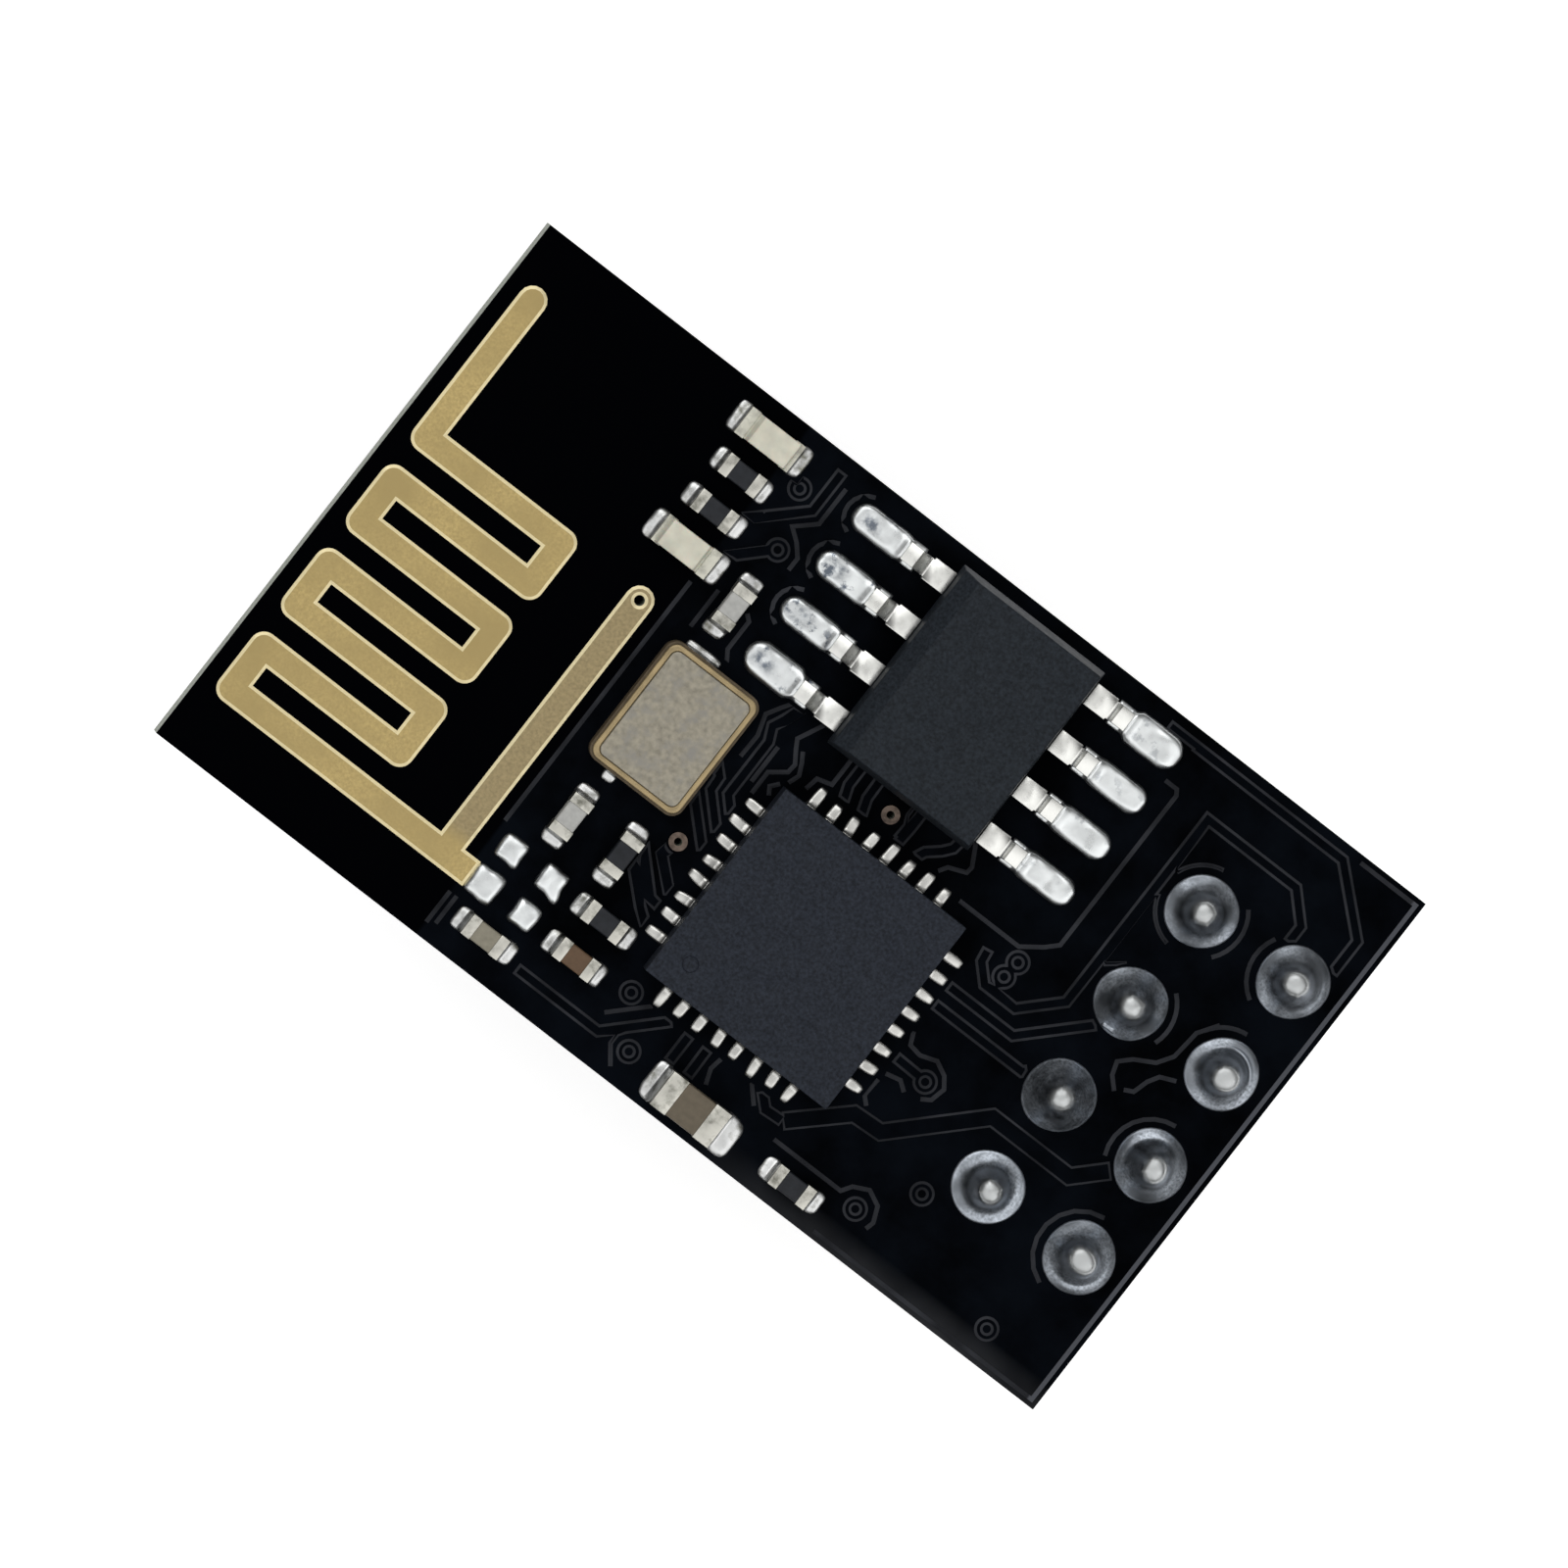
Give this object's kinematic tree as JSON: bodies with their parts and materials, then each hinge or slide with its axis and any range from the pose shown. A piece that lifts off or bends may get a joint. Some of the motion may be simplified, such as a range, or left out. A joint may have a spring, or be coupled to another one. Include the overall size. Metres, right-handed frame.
{
  "type": "plug-in wifi module",
  "caption": "Small dark circuit board with a bare meandered antenna at one end, a radio chip, a memory chip and a crystal, on a pin header that plugs into a socket.",
  "frame": {"origin": "Centre of the eight header pins, on the seating face of the header's insulator.", "axes": "+X along the board from the antenna edge to the pin edge, +Y along the header rows to the memory chip's long edge, +Z from the header up to the parts."},
  "size_m": [0.0243, 0.014, 0.0111],
  "materials": {
    "mask": "dark solder mask over glass laminate, low gloss",
    "gold": "thin matt gold plating",
    "copper": "bare copper",
    "chip_moulding": "fine moulded epoxy",
    "solder": "bright reflowed solder",
    "joint_solder": "bright wave solder with flux film",
    "tin": "tin plating",
    "ceramic": "fired ceramic",
    "lid": "satin metal lid",
    "header_plastic": "moulded plastic",
    "resistor": "glazed",
    "capacitor_grey": "fired ceramic",
    "capacitor_brown": "fired ceramic",
    "capacitor_beige": "fired ceramic",
    "lens": "cast epoxy"
  },
  "bodies": {
    "root": {"circuit_board": "mask", "signal_tracks": "mask", "under_tracks": "mask", "antenna": "gold", "bare_via_rings": "copper", "radio_chip": "chip_moulding", "radio_terminals": "solder", "memory_chip": "chip_moulding", "memory_solder": "solder", "crystal_base": "ceramic", "crystal_ring": "gold", "crystal_lid": "lid", "part_solder": "solder", "antenna_solder": "solder", "header_body": "header_plastic", "header_solder": "joint_solder", "memory_lead_1": "tin", "header_pin_1": "gold", "memory_lead_2": "tin", "header_pin_2": "gold", "memory_lead_3": "tin", "header_pin_3": "gold", "memory_lead_4": "tin", "header_pin_4": "gold", "memory_lead_5": "tin", "header_pin_5": "gold", "memory_lead_6": "tin", "header_pin_6": "gold", "memory_lead_7": "tin", "header_pin_7": "gold", "memory_lead_8": "tin", "header_pin_8": "gold", "resistor_1_body": "resistor", "resistor_1_terminals": "tin", "resistor_2_body": "resistor", "resistor_2_terminals": "tin", "resistor_3_body": "resistor", "resistor_3_terminals": "tin", "resistor_4_body": "resistor", "resistor_4_terminals": "tin", "resistor_5_body": "resistor", "resistor_5_terminals": "tin", "capacitor_1_body": "capacitor_grey", "capacitor_1_terminals": "tin", "capacitor_2_body": "capacitor_grey", "capacitor_2_terminals": "tin", "capacitor_3_body": "capacitor_brown", "capacitor_3_terminals": "tin", "capacitor_4_body": "capacitor_beige", "capacitor_4_terminals": "tin", "capacitor_5_body": "capacitor_brown", "capacitor_5_terminals": "tin", "lamp_1_body": "lens", "lamp_1_terminals": "tin", "lamp_2_body": "lens", "lamp_2_terminals": "tin"}
  },
  "joints": []
}
